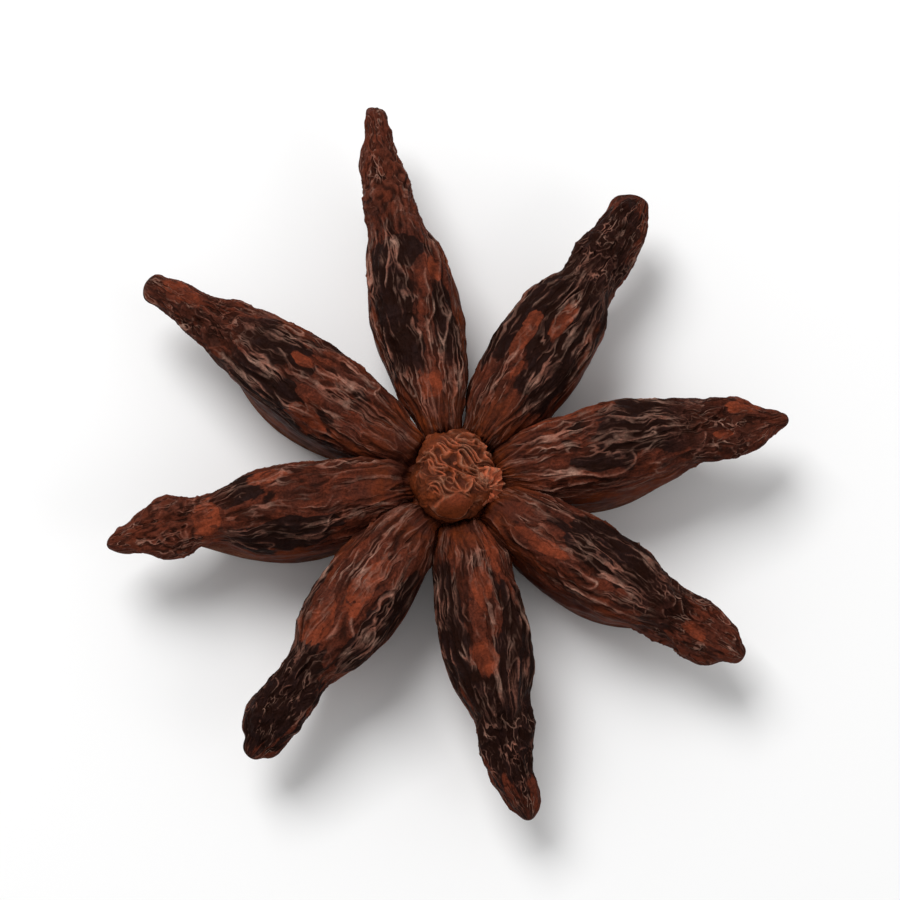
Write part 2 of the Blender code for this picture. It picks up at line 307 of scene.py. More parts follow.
def scramble(cells, salt):
    """A repeatable whole number under HASH_LIMIT for each lattice cell, from its indices and a salt."""
    x, y, z = (cells[..., axis].astype(np.uint64) for axis in range(3))
    a, b, c, d = (np.uint64(step) for step in HASH_STEPS)
    limit = np.uint64(HASH_LIMIT - 1)
    mixed = (x * a ^ y * b ^ z * c ^ np.uint64(salt) * d) & limit
    for factor in HASH_MIX:
        mixed = ((mixed ^ (mixed >> np.uint64(15))) * np.uint64(factor)) & limit
    return mixed ^ (mixed >> np.uint64(16))


def smooth_noise(points, salt):
    """Noise from about -1 to 1: a random slope at each corner of a unit lattice, faded together."""
    base = np.floor(points).astype(np.int64)
    inside = points - base
    fade = inside**3 * (inside * (inside * 6 - 15) + 10)
    total = np.zeros(points.shape[:-1])
    for corner in np.ndindex(2, 2, 2):
        slope = SLOPES[(scramble(base + corner, salt) % np.uint64(len(SLOPES))).astype(np.int64)]
        weight = np.where(corner, fade, 1 - fade).prod(-1)
        total += weight * ((inside - corner) * slope).sum(-1)
    return np.clip(total * NOISE_GAIN, -1, 1)


def layered_noise(points, salt, layers=3):
    """Smooth noise with finer and fainter layers of itself on top, each half the size."""
    total = sum(smooth_noise(points * 2**n, salt + n) / 2**n for n in range(layers))
    return total / (2 - 2 ** (1 - layers))


def ease(low, high, value):
    """0 below low, 1 above high, and a smooth step between them. low may be the larger."""
    share = np.clip((value - low) / (high - low), 0, 1)
    return share * share * (3 - 2 * share)


def blots(pattern, size, salt, low, high, layers=3):
    """Layered noise of a size, eased from 0 at low to 1 at high."""
    return ease(low, high, layered_noise(pattern / size, salt, layers))


def hump(value, middle, half_width):
    """A bell that is 1 at the middle."""
    return np.exp(-(((value - middle) / half_width) ** 2))


def monotone_curve(knots, values, at):
    """A smooth curve through the knots that never overshoots: cubic Hermite with limited slopes."""
    knots = np.asarray(knots, float)
    values = np.asarray(values, float)
    rise = np.diff(values) / np.diff(knots)
    same_way = rise[:-1] * rise[1:] > 0
    slopes = np.zeros(len(knots))
    slopes[1:-1][same_way] = 2 / (1 / rise[:-1][same_way] + 1 / rise[1:][same_way])
    slopes[0] = rise[0]
    slopes[-1] = rise[-1]
    at = np.clip(at, knots[0], knots[-1])
    span = np.clip(np.searchsorted(knots, at, side="right") - 1, 0, len(knots) - 2)
    width = knots[span + 1] - knots[span]
    u = (at - knots[span]) / width
    start, end = values[span], values[span + 1]
    return (
        start * (1 + 2 * u) * (1 - u) ** 2
        + slopes[span] * width * u * (1 - u) ** 2
        + end * u**2 * (3 - 2 * u)
        + slopes[span + 1] * width * u**2 * (u - 1)
    )


# ---- Meshes ----


def grid_normals(points):
    """Outward unit normals of a grid whose rows are rings: the cross product of its two directions."""
    along = np.gradient(points, axis=0)
    wrapped = np.concatenate([points[:, -1:], points, points[:, :1]], axis=1)
    around = (wrapped[:, 2:] - wrapped[:, :-2]) / 2
    normal = np.cross(around, along)
    size = np.linalg.norm(normal, axis=-1, keepdims=True)
    return normal / np.maximum(size, 1e-9)


def ring_faces(rings, points):
    """Quads between one ring and the next, and fans to a pole at each end, as two index arrays."""
    row = np.arange(rings - 1)[:, None] * points
    here = np.arange(points)
    after = np.roll(here, -1)
    corners = (row + here, row + after, row + points + after, row + points + here)
    quads = np.stack([c.ravel() for c in corners], -1)
    start_pole, end_pole = rings * points, rings * points + 1
    last = (rings - 1) * points
    start = np.stack([np.full(points, start_pole), after, here], -1)
    end = np.stack([np.full(points, end_pole), last + here, last + after], -1)
    return quads, np.concatenate([start, end])


def ringed_mesh(name, points, masks, grain=None):
    """A closed object from a grid of rings in millimetres, with each mask as an attribute.

    grain is each point's place along and across the skin, for patterns that follow the piece. It is
    the point itself unless given.
    """
    rings, around = points.shape[:2]
    start_pole, end_pole = points[0].mean(0), points[-1].mean(0)
    places = np.concatenate([points.reshape(-1, 3), [start_pole], [end_pole]]) * MM
    quads, fans = ring_faces(rings, around)
    mesh = bpy.data.meshes.new(name)
    mesh.vertices.add(len(places))
    mesh.vertices.foreach_set("co", places.astype(np.float32).ravel())
    mesh.loops.add(quads.size + fans.size)
    mesh.loops.foreach_set("vertex_index", np.concatenate([quads.ravel(), fans.ravel()]).astype(np.int32))
    mesh.polygons.add(len(quads) + len(fans))
    starts = np.concatenate([np.arange(len(quads)) * 4, quads.size + np.arange(len(fans)) * 3])
    mesh.polygons.foreach_set("loop_start", starts.astype(np.int32))
    mesh.update(calc_edges=True)
    mesh.validate()
    for mask, values in masks.items():
        ends = [values[0].mean(), values[-1].mean()]
        attribute = mesh.attributes.new(mask, "FLOAT", "POINT")
        attribute.data.foreach_set("value", np.concatenate([values.ravel(), ends]).astype(np.float32))
    grain = points if grain is None else grain
    grain = np.concatenate([grain.reshape(-1, 3), [grain[0].mean(0)], [grain[-1].mean(0)]])
    attribute = mesh.attributes.new("grain", "FLOAT_VECTOR", "POINT")
    attribute.data.foreach_set("vector", grain.astype(np.float32).ravel())
    mesh.shade_smooth()
    piece = bpy.data.objects.new(name, mesh)
    bpy.context.scene.collection.objects.link(piece)
    return piece


def finish_piece(piece, material, node):
    """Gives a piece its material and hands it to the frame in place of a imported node."""
    piece.data.materials.append(material)
    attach(piece, "root")
    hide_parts(node)


def at_column(points, shape):
    """Moves points that stand about +Z to the column's axis."""
    return points + (shape.column_x / MM, shape.column_y / MM, 0.0)


def turn_into_place(points, azimuth, shape):
    """Turns a follicle's own frame, whose +X runs along it, and moves it to the column's axis."""
    angle = math.radians(azimuth)
    x, y, z = points[..., 0], points[..., 1], points[..., 2]
    turned_x = x * math.cos(angle) - y * math.sin(angle)
    turned_y = x * math.sin(angle) + y * math.cos(angle)
    return at_column(np.stack([turned_x, turned_y, z], -1), shape)


# ---- Follicles ----


def tip_radius(f):
    """The length over which the beak rounds off."""
    return 0.45 * f.tip + 0.45


def station_shares(f):
    """Shares of the reach: even steps to where the tip rounds off, then ever closer ones."""
    start_of_tip = 1 - tip_radius(f) / f.reach
    straight = np.linspace(ROOT, start_of_tip, STATIONS - TIP_STATIONS, endpoint=False)
    angle = np.linspace(0, math.radians(86), TIP_STATIONS)
    return np.concatenate([straight, start_of_tip + (1 - start_of_tip) * np.sin(angle)])


def tip_rounding(f, t):
    """The share of its size that a section keeps near the tip, which ends as an ellipse does."""
    radius = tip_radius(f)
    into_tip = np.clip((t * f.reach - (f.reach - radius)) / radius, 0, 1)
    return np.sqrt(1 - into_tip**2)


def half_width(f, t):
    """Half of the follicle's width: a body, a waist, a knob and a tip."""
    knots = (ROOT, 0.14, 0.25, 0.45, 0.58, f.waist_at, f.knob_at, 1.0)
    widths = (2.2, 3.2, 0.84 * f.body, f.body, 0.90 * f.body, f.waist, f.knob, f.tip)
    return monotone_curve(knots, np.multiply(widths, 0.5), t)


def seam_height(f, t, shape):
    """The seam dips from the column to the table and rises to the beak."""
    foot = shape.column_foot / MM + 0.4
    knots = (ROOT, 0.16, 0.30, 0.45, 0.60, 0.73, 0.84, 1.0)
    heights = (foot, 2.5, f.lift + 0.9, f.lift, f.lift + 0.9, 2.6, shape.seam_height / MM, 3.9)
    return monotone_curve(knots, heights, t) - f.droop * t**3


def keel_height(f, t, shape):
    """The keel rises from the stub's groove and falls towards the beak."""
    top = shape.belly_height / MM
    beside_stub = (ROOT, 2.3 / f.reach, 2.9 / f.reach, 3.8 / f.reach)
    knots = (*beside_stub, 0.30, 0.45, 0.60, 0.73, 0.84, 1.0)
    heights = (6.2, 6.6, 7.7, 8.3, top - 0.1, top, top - 0.4, 7.4, 6.9, 5.9)
    return monotone_curve(knots, heights, t) - f.droop * t**3


def slit_opening(t):
    """0 outside the slit, and a swelling to 1 at its middle."""
    along = np.clip((t - SLIT_START) / (SLIT_END - SLIT_START), 0, 1)
    return np.sin(math.pi * along)


def superellipse(angle, wide, tall, power):
    """Distances out and up at each angle over the side: (x / wide)^power + (y / tall)^power = 1."""
    radius = ((np.cos(angle) / wide) ** power + (np.sin(angle) / tall) ** power) ** (-1 / power)
    return radius * np.cos(angle), radius * np.sin(angle)


def half_section(f, t, shape, flare):
    """One side of the section at each t, from the keel's middle round the lip to the chamber's roof.

    The keel is a superellipse, the flank a quarter sine, the lip a half circle, and the chamber a
    quarter sine under a superellipse. Gives distances out and heights, as (stations, points).
    """
    t = t[:, None]
    rounding = tip_rounding(f, t)
    wide = half_width(f, t) * rounding
    low, high = seam_height(f, t, shape), keel_height(f, t, shape)
    middle, half = (low + high) / 2, (high - low) / 2 * rounding
    low, high = middle - half, middle + half
    waterline = low + WIDEST * (high - low)
    opening = slit_opening(t) if f.gape else 0.0 * t
    crack = 0.03 * rounding
    gape = crack + f.gape / 2 * opening**0.85
    lip = np.minimum(shape.lip / MM, 0.55 * wide)
    flared = flare * hump(t, 0.57, 0.13) * (1 if f.gape else 0)
    edge = np.minimum(gape + lip, 1.02 * wide) + flared

    angle = np.radians(np.linspace(90, 0, KEEL_POINTS))[None]
    out, up = superellipse(angle, wide, high - waterline, KEEL_POWER)
    keel = (out, waterline + up)

    up = np.linspace(1, 0, FLANK_POINTS + 1)[None, 1:]
    out = edge - flared + (wide - edge + flared) * np.sin(math.pi / 2 * up) + flared * (1 - up) ** 1.7
    flank = (out, low + (waterline - low) * up)

    turn = np.radians(np.linspace(0, 180, LIP_POINTS + 2))[None, 1:-1]
    lip_middle, lip_half = (edge + edge - lip) / 2, lip / 2
    rim = (lip_middle + lip_half * np.cos(turn), low - 0.9 * lip_half * np.sin(turn))

    chamber_share = opening**0.5
    roof = low + 0.4 + (high - shape.keel_wall / MM - low - 0.4) * chamber_share
    inner_edge = edge - lip
    chamber = np.maximum((half_width(f, t) - shape.side_wall / MM) * chamber_share, inner_edge)
    chamber_middle = low + 0.45 * (roof - low)
    rising = np.linspace(0, 1, CHAMBER_POINTS // 2)[None]
    throat_out = inner_edge + (chamber - inner_edge) * np.sin(math.pi / 2 * rising)
    throat = (throat_out, low + (chamber_middle - low) * rising)
    bend = np.radians(np.linspace(0, 90, CHAMBER_POINTS - CHAMBER_POINTS // 2 + 1))[None, 1:]
    out, up = superellipse(bend, chamber, roof - chamber_middle, CHAMBER_POWER)
    vault = (out, chamber_middle + up)

    stretches = (keel, flank, rim, throat, vault)
    return tuple(np.concatenate([s[axis] for s in stretches], axis=1) for axis in (0, 1))


def girth_scale():
    """Where each point of half a section is: 0 to 1 keel, to 2 flank, to 3 lip, to 4 chamber."""
    keel = np.linspace(0, 1, KEEL_POINTS)
    flank = 1 + np.linspace(0, 1, FLANK_POINTS + 1)[1:]
    lip = 2 + np.linspace(0, 1, LIP_POINTS + 2)[1:-1]
    chamber = 3 + np.linspace(0, 1, CHAMBER_POINTS + 1)
    half = CHAMBER_POINTS // 2
    return np.concatenate([keel, flank, lip, chamber[:half], chamber[half + 1 :]])


def both_sides(right, left):
    """Joins two halves into one ring, which runs down one side and back up the other."""
    return np.concatenate([right, left[:, -2:0:-1]], axis=1)


def smooth_follicle(f, shape):
    """The unweathered follicle in its own frame: rings of (x, y, z), and each point's t, its girth, and
    its girth with the side's sign."""
    t = station_shares(f)
    right_out, right_up = half_section(f, t, shape, f.flare_right)
    left_out, left_up = half_section(f, t, shape, f.flare_left)
    y = both_sides(-right_out, left_out)
    z = both_sides(right_up, left_up)
    past_waist = np.clip((t - 0.6) / 0.4, 0, 1)[:, None]
    y = y + f.swerve * past_waist**2
    x = np.broadcast_to((t * f.reach)[:, None], y.shape)
    half = np.broadcast_to(girth_scale(), right_out.shape)
    shares = np.broadcast_to(t[:, None], y.shape)
    return np.stack([x, y, z], -1), shares, both_sides(half, half), both_sides(-half, half)


def warped(points, size, depth, salt):
    """Points pushed about by slow noise, so that a pattern on them wanders."""
    push = [smooth_noise(points / size, salt + axis) for axis in range(3)]
    return points + depth * np.stack(push, -1)


def wavy_line(pattern, cell, width, salt):
    """Thin lines where slow noise changes sign, and how far each point is from one, in the noise's unit.

    cell is the noise's size along and across. The distance is the noise over its slope across, so
    that a line keeps its width.
    """
    cell = np.array((*cell, 1.0))
    here = smooth_noise(pattern / cell, salt)
    beside = smooth_noise((pattern + (0, PROBE, 0)) / cell, salt)
    ahead = smooth_noise((pattern + (PROBE, 0, 0)) / cell, salt)
    slope = np.hypot(beside - here, ahead - here) / PROBE
    distance = np.abs(here) / np.maximum(slope, 0.35 / cell[1])
    return np.exp(-distance / width), distance


def blurred(values, passes):
    """A grid's values averaged with their neighbours over and over, along it and round each ring."""
    for _ in range(passes):
        values = (values + np.roll(values, 1, 1) + np.roll(values, -1, 1)) / 3
        values[1:-1] = (values[:-2] + values[1:-1] + values[2:]) / 3
    return values


def patch_mask(patches, points, pattern, ragged, salt, swollen=1.0):
    """1 inside each oval patch, whose edge is ragged along the grain."""
    edge = ragged * layered_noise(pattern / (1.7, 0.55, 1.0), salt, 4)
    mask = np.zeros(points.shape[:-1])
    for patch in patches:
        along = (points[..., 0] - patch.along) / patch.length
        across = (points[..., 1] - patch.across) / patch.width
        mask = np.maximum(mask, ease(1.15, 0.75, np.hypot(along, across) / swollen + edge))
    return mask


def weathered_follicle(f, shape, salt):
    """Wrinkles, dents and lumps on a follicle, and the masks that colour them.

    The surface moves along its normal by slow lumps, then by thin wavy crests: long ones that follow
    the keel, and tangled ones on the beak. What stands over the surface's own average is a crest,
    coloured paler, partly as painted highlight, and what lies under it is a dip, coloured with painted
    shade.
    """
    points, t, girth, signed = smooth_follicle(f, shape)
    pattern = np.stack([points[..., 0], GIRTH_WIDTH * signed, 0.15 * points[..., 2]], -1)
    outside = ease(2.2, 1.6, girth)
    keel = ease(1.15, 0.80, girth)
    beak = ease(0.60, 0.76, t) * outside
    root = ease(0.30, 0.11, t)
    tip = ease(1.0, 0.965, t)
    outline = 1 - 0.65 * hump(girth, 0.95, 0.35)

    slow = smooth_noise(points / (4.2, 2.6, 2.6), salt) * (1 + 1.1 * beak)
    mid = layered_noise(points / (2.4, 1.15, 1.15), salt + 5, 2) * (0.6 + 0.4 * keel + 0.9 * beak)
    push = (shape.lump * slow + shape.dent * mid - shape.shrink) / MM
    push -= 0.10 * root * ease(0.3, 0.9, girth)
    points = points + grid_normals(points) * (push * outside * tip)[..., None]

    spacing, width = shape.crest_spacing / MM, shape.crest_width / MM
    drift = warped(pattern, np.array((3.2, 1.7, 1.0)), 0.45, salt + 20)
    long_crest, long_distance = wavy_line(drift, (4.5, spacing), width, salt + 30)
    next_crest, _ = wavy_line(drift, (3.0, 0.8 * spacing), 0.8 * width, salt + 33)
    fine_crest, _ = wavy_line(warped(pattern, 1.2, 0.22, salt + 35), (1.9, 0.38), 0.6 * width, salt + 40)
    knotted = warped(pattern, np.array((1.5, 1.2, 1.0)), 0.50, salt + 50)
    knot_crest, knot_distance = wavy_line(knotted, (1.4, 0.85), 1.2 * width, salt + 60)
    twig_crest, _ = wavy_line(warped(pattern, 0.9, 0.3, salt + 65), (0.9, 0.6), 0.8 * width, salt + 70)

    dashes = blots(pattern, (2.0, 0.7, 1.0), salt + 80, -0.30, 0.25, 2)
    other_dashes = blots(pattern, (1.6, 0.6, 1.0), salt + 84, 0.0, 0.4, 2)
    on_keel = keel * (1 - beak) * (1 - 0.35 * root)
    fold = 0.5 * np.exp(-long_distance / 0.26) - 0.2
    long_height = long_crest * (0.3 + 0.7 * dashes) + 0.6 * next_crest * other_dashes + fold
    relief = shape.crest / MM * (long_height + 0.35 * fine_crest) * on_keel
    knot_fold = 0.7 * np.exp(-knot_distance / 0.3) - 0.3
    gnarled = beak * (0.45 + 0.55 * ease(0.92, 0.76, t))
    relief += shape.beak_crest / MM * (0.6 * knot_crest + knot_fold + 0.35 * twig_crest) * gnarled
    relief += 0.035 * layered_noise(points / 0.45, salt + 85, 2) * (0.3 + 0.7 * keel)
    bare = patch_mask(f.worn, points, pattern, 0.55, salt + 100) * ease(1.05, 0.85, girth)
    relief *= (1 - 0.6 * bare) * outline
    points = points + grid_normals(points) * (relief * outside * tip)[..., None]
    ripple = 0.10 * smooth_noise(points / (1.1, 3.0, 3.0), salt + 110) * hump(girth, 2.5, 0.6)
    points[..., 2] = np.maximum(points[..., 2] + ripple, 0.0)

    near = blurred(relief, LEVEL_PASSES)
    stand = relief - near
    swell = near - blurred(near, SWELL_PASSES)
    lined = 0.50 + 0.50 * blots(pattern, (4.0, 1.5, 1.0), salt + 140, -0.30, 0.25, 2)
    lines = np.maximum(long_crest * dashes, 0.75 * next_crest * other_dashes) * on_keel
    lines = np.maximum(lines, 0.85 * knot_crest * gnarled * (0.3 + 0.7 * dashes))
    # Paler crests on the lines, and faintly wherever the relief stands over its own level: partly painted
    # highlight.
    bright = np.maximum(ease(0.42, 0.95, lines), 0.18 * ease(0.03, 0.07, stand) * other_dashes) * lined
    # Painted shade: darker wherever the relief lies under its near level and under its slow swells.
    painted_shade = 0.8 * ease(0.0, 0.04, -stand) + 0.7 * ease(0.005, 0.05, -swell)
    scorch = patch_mask(f.burnt, points, pattern, 0.6, salt + 120, 1.25)
    margin = ease(0.30, 0.62, girth) * (1 - beak) * blots(pattern, 2.5, salt + 135, -0.25, 0.15, 2)
    warm = np.maximum(root, 0.85 * margin * (1 - scorch))
    scorch = np.maximum(scorch, 0.7 * blots(pattern, (3.4, 1.2, 1.0), salt + 125, 0.14, 0.36))
    bare *= 1 - 0.6 * blots(pattern, (0.9, 0.3, 1.0), salt + 130, 0.1, 0.5)
    masks = {
        "crest": np.clip(bright, 0, 1) * outside * (1 - 0.55 * bare) * (1 - 0.5 * root),
        "painted_shade": np.clip(painted_shade, 0, 1) * ease(1.5, 0.9, girth) * (1 - 0.2 * root) * (1 - 0.4 * bare),
        "rubbed": bare,
        "burnt": scorch * (1 - root) * ease(1.3, 0.95, girth) * (1 - bare),
        "flank": ease(0.85, 1.05, girth) * outside * (1 - beak),
        "root": warm * outside,
        "beak": beak * f.blush,
        "knotted": beak,
        "lined": lined,
        "lip": hump(girth, 2.5, 0.55),
        "lining": ease(2.7, 3.1, girth),
    }
    grain = pattern + (0, 0, 0.013 * salt)
    return points, masks, grain


# ---- Column, stub and seeds ----


def round_rings(knots, grid):
    """Rings about the +Z axis, at even steps along a smooth profile through knots of (radius, height)."""
    knots = np.asarray(knots, float)
    travelled = np.concatenate([[0], np.cumsum(np.hypot(*np.diff(knots, axis=0).T))])
    at = np.linspace(0, travelled[-1], grid[0])
    radius, height = (monotone_curve(travelled, knots[:, axis], at)[:, None] for axis in (0, 1))
    angle = np.linspace(0, 2 * math.pi, grid[1], endpoint=False)[None]
    return np.stack([radius * np.cos(angle), radius * np.sin(angle), height + 0 * angle], -1)


def plain_masks(points, **given):
    """The husk's masks, all 0 but those that are given."""
    names = ("crest", "painted_shade", "rubbed", "burnt", "flank", "root", "beak", "knotted", "lip", "lining")
    return {name: given.get(name, np.zeros(points.shape[:-1])) for name in names}


def column_surface(shape):
    """A squat round core with a rough foot, which the follicles' roots are buried in."""
    foot, top, radius = shape.column_foot / MM, shape.column_top / MM, shape.column_radius / MM
    knots = ((0.05, foot - 0.1), (1.1, foot), (2.2, foot + 0.5), (radius, foot + 1.6),
             (radius, top - 0.8), (0.9 * radius, top), (0.05, top))
    points = round_rings(knots, COLUMN_GRID)
    rough = layered_noise(points / 0.7, 7001) * 0.12
    points = points + grid_normals(points) * rough[..., None]
    points = at_column(points, shape)
    crest = blots(points, 0.5, 7011, 0.1, 0.5)
    return points, plain_masks(points, root=np.ones(points.shape[:-1]), crest=0.6 * crest)


def lean(points, tilt, towards, pivot_height):
    """Tilts points by degrees towards an azimuth, about a pivot on the +Z axis."""
    turn = Euler((0, 0, math.radians(towards))).to_matrix()
    tip_over = Euler((0, math.radians(tilt), 0)).to_matrix()
    matrix = np.array(turn @ tip_over @ turn.transposed())
    pivot = np.array((0, 0, pivot_height))
    return (points - pivot) @ matrix.T + pivot


def stub_surface(shape):
    """A lumpy oval dome under worm-like folds, with a smooth flap on its lower left."""
    radius, top = shape.stub_radius / MM, shape.stub_top / MM
    knots = ((0.05, 5.4), (0.86 * radius, 5.45), (radius, 7.0), (1.02 * radius, 7.9), (0.93 * radius, 8.6),
             (0.68 * radius, top - 0.30), (0.35 * radius, top - 0.05), (0.04, top))
    points = round_rings(knots, STUB_GRID)
    points = points * (0.95, 1.09, 1.0) + (-0.22, 0.0, 0.0)
    slow = smooth_noise(points / 2.3, 8001) + 0.7 * smooth_noise(points / 1.2, 8003)
    points = points + grid_normals(points) * (0.28 * slow)[..., None]
    flap_reach = np.linalg.norm((points - FLAP_CENTRE) / FLAP_SIZE, axis=-1)
    flap_reach += 0.22 * smooth_noise(points / 0.8, 8007)
    flap = ease(1.08, 0.82, flap_reach)
    crease = hump(flap_reach, 1.10, 0.07) * ease(0.9, -0.5, points[..., 1] + 2.2)
    flow = math.radians(STRAND_FLOW)
    along = points[..., 0] * math.cos(flow) + points[..., 1] * math.sin(flow)
    across = points[..., 1] * math.cos(flow) - points[..., 0] * math.sin(flow)
    strands = warped(np.stack([along, across, 0.6 * points[..., 2]], -1), 1.1, 0.45, 8020)
    thick, thick_distance = wavy_line(strands, (1.3, 0.50), 0.14, 8030)
    thin, _ = wavy_line(warped(strands, 0.7, 0.25, 8040), (1.0, 0.38), 0.07, 8050)
    from_folds = (points[..., :2] - FOLDS_CENTRE) / FOLDS_SIZE
    zone = np.hypot(from_folds[..., 0], from_folds[..., 1])
    folded = ease(1.2, 0.8, zone + 0.3 * smooth_noise(points / 0.9, 8060))
    # Paler fold tops on the stub: partly painted highlight.
    crest = np.maximum(ease(0.30, 0.95, thick), 0.6 * ease(0.4, 0.9, thin)) * folded
    relief = (0.24 * (thick - 0.4) + 0.05 * thin) * (0.25 + 0.75 * folded)
    grit = layered_noise(strands / (0.8, 0.5, 0.5), 8070)
    relief += 0.14 * grit
    relief = relief * (1 - 0.85 * flap) + 0.04 * flap - 0.16 * crease
    rising = ease(6.4, 7.6, points[..., 2])
    points = points + grid_normals(points) * (relief * rising)[..., None]
    points = lean(points, STUB_TILT, STUB_LEANS_TOWARDS, 6.0)
    points = at_column(points, shape)
    rim = hump(flap_reach, 0.96, 0.06) * ease(-0.3, -1.6, across + 0.4)
    # Painted shade in the gaps between the folds, and in the grit's dips low on the stub.
    shaded = ease(0.13, 0.24, thick_distance) * (1 - 0.6 * thin) * (0.15 + 0.85 * folded)
    shaded = np.maximum(shaded, 0.7 * ease(0.0, 0.45, -grit) * ease(9.6, 8.6, points[..., 2]))
    masks = {
        # Crests, with a pale band along the flap's lower edge: partly painted highlight.
        "crest": np.maximum(crest * (1 - 0.85 * flap), 0.8 * rim) * rising,
        # Painted shade: the fold gaps and the crease round the flap.
        "painted_shade": np.clip(shaded * (1 - flap) + crease, 0, 1),
        "torn": np.zeros(points.shape[:-1]),
        "flap": flap,
    }
    return points, masks


def scar_surface(shape):
    """The stalk's torn end: a tilted dish of coarse fibres that fan out from a small pit off its middle."""
    radius = shape.scar_radius / MM
    knots = ((0.04, -1.6), (0.8 * radius, -1.6), (0.98 * radius, -0.7), (1.04 * radius, -0.15),
             (0.97 * radius, 0.02), (0.75 * radius, 0.06), (0.45 * radius, 0.03), (0.03, 0.0))
    points = round_rings(knots, SCAR_GRID)
    uphill = (SCAR_UPHILL[0] * points[..., 0] + SCAR_UPHILL[1] * points[..., 1]) / radius
    from_pit = points[..., :2] - np.array(SCAR_PIT) * radius
    reach = np.hypot(from_pit[..., 0], from_pit[..., 1]) / radius
    heading = from_pit / np.maximum(reach * radius, 0.01)[..., None]
    spokes = np.stack([2.3 * heading[..., 0], 2.3 * heading[..., 1], 0.5 * reach], -1)
    fibre, _ = wavy_line(spokes, (0.55, 0.55), 0.16, 8101)
    clump = smooth_noise(spokes / (1.1, 1.1, 0.5), 8120)
    ragged = smooth_noise(points / 0.45, 8110)
    face = ease(-0.6, -0.1, points[..., 2])
    fan = ease(0.15, 0.5, reach)
    step = ease(0.75, 0.95, reach + 0.15 * clump)
    points[..., 2] += face * (0.26 * uphill + fan * (0.22 * (fibre - 0.4) + 0.12 * ragged) - 0.16 * step)
    points[..., 2] -= face * 0.55 * ease(0.34, 0.05, reach)
    widened = 1 + 0.14 * uphill + 0.22 * clump + 0.12 * ragged
    points[..., :2] *= (1 + (widened - 1) * face * fan)[..., None]
    turn = Euler((0, math.radians(SCAR_TILT), math.radians(STUB_LEANS_TOWARDS))).to_matrix()
    points = points @ np.array(turn).T
    towards = math.radians(STUB_LEANS_TOWARDS)
    points += (SCAR_OFFSET * math.cos(towards), SCAR_OFFSET * math.sin(towards), SCAR_HEIGHT)
    points = at_column(points, shape)
    pit = ease(0.36, 0.16, reach)
    rim = ease(0.75, 1.1, uphill)
    masks = {
        # Paler fibres, most on the uphill rim: partly painted highlight.
        "crest": np.clip(ease(0.25, 0.8, fibre) * fan + 0.6 * rim * fibre, 0, 1) * face * (1 - pit),
        # Painted shade between the fibres and in the pit.
        "painted_shade": np.clip(0.9 * ease(0.4, 0.1, fibre) * fan + 0.8 * hump(reach, 0.0, 0.2), 0, 1) * face,
        "torn": face * np.clip(pit + fan, 0, 1),
        "flap": np.zeros(points.shape[:-1]),
    }
    return points, masks


def seed_surface(f, shape, salt):
    """A flattened egg on edge, blunt towards the beak, with a faint ridge round it and a small navel."""
    rings, around = SEED_GRID
    down = np.radians(np.linspace(3, 177, rings))[:, None]
    turn = np.linspace(0, 2 * math.pi, around, endpoint=False)[None]
    x = np.cos(down) + 0 * turn
    taper = 1 + SEED_TAPER * x - SEED_TAPER / 2
    y = np.sin(down) * np.cos(turn) * taper
    z = np.sin(down) * np.sin(turn) * taper
    pinch = 1 + 0.05 * hump(np.abs(np.sin(turn)), 1.0, 0.08) * np.sin(down)
    half = np.array((shape.seed_length, shape.seed_thickness, shape.seed_height)) * f.seed / 2 / MM
    points = np.stack([x, y, z * pinch], -1) * half
    navel = np.linalg.norm(points - (-half[0] * 0.97, 0, 0), axis=-1)
    dimple = hump(navel, 0, 0.45)
    points = points * (1 - 0.03 * smooth_noise(points / 2.5, salt))[..., None]
    points[..., 0] += 0.35 * dimple
    points += (shape.seed_place / MM, 0, shape.seed_rise / MM + f.lift)
    edge = hump(np.abs(np.sin(turn)), 1.0, 0.06) * np.sin(down)
    return points[::-1], {"edge": edge[::-1], "navel": hump(navel, 0, 0.8)[::-1]}


# ---- Node trees ----


def feed(tree, socket, value):
    """Links a socket to an input, or sets the input to a number, a vector or a colour."""
    if isinstance(value, bpy.types.NodeSocket):
        tree.links.new(value, socket)
    elif socket.type == "RGBA" and len(value) == 3:
        socket.default_value = (*value, 1.0)
    else:
        socket.default_value = value


def feed_all(tree, node, values):
    """Feeds several inputs of a node, by their names or numbers."""
    for name, value in values.items():
        feed(tree, node.inputs[name], value)


def add_node(tree, kind, values, **settings):
    """A node with some of its settings and inputs filled in."""
    node = tree.nodes.new(kind)
    for name, value in settings.items():
        setattr(node, name, value)
    feed_all(tree, node, values)
    return node


def mixed(tree, share, first, second, blend="MIX"):
    """One colour over another by a share, as a colour socket."""
    values = {0: share, 6: first, 7: second}
    return add_node(tree, "ShaderNodeMix", values, data_type="RGBA", blend_type=blend).outputs[2]


def blended(tree, share, first, second):
    """One number over another by a share, as a socket."""
    return add_node(tree, "ShaderNodeMix", {0: share, 2: first, 3: second}, data_type="FLOAT").outputs[0]


def reckoned(tree, operation, *values):
    """The result of a Math node, as a socket."""
    return add_node(tree, "ShaderNodeMath", dict(enumerate(values)), operation=operation).outputs[0]


def times(tree, first, second):
    """The product of two numbers, as a socket."""
    return reckoned(tree, "MULTIPLY", first, second)


def reckoned_vector(tree, operation, first, second):
    """The result of a Vector Math node, as a socket."""
    return add_node(tree, "ShaderNodeVectorMath", {0: first, 1: second}, operation=operation).outputs[0]


def remapped(tree, value, low, high, to_low=0.0, to_high=1.0, curve="SMOOTHSTEP"):
    """A value's range carried to another range, as a socket."""
    values = {"Value": value, "From Min": low, "From Max": high, "To Min": to_low, "To Max": to_high}
    return add_node(tree, "ShaderNodeMapRange", values, interpolation_type=curve).outputs["Result"]


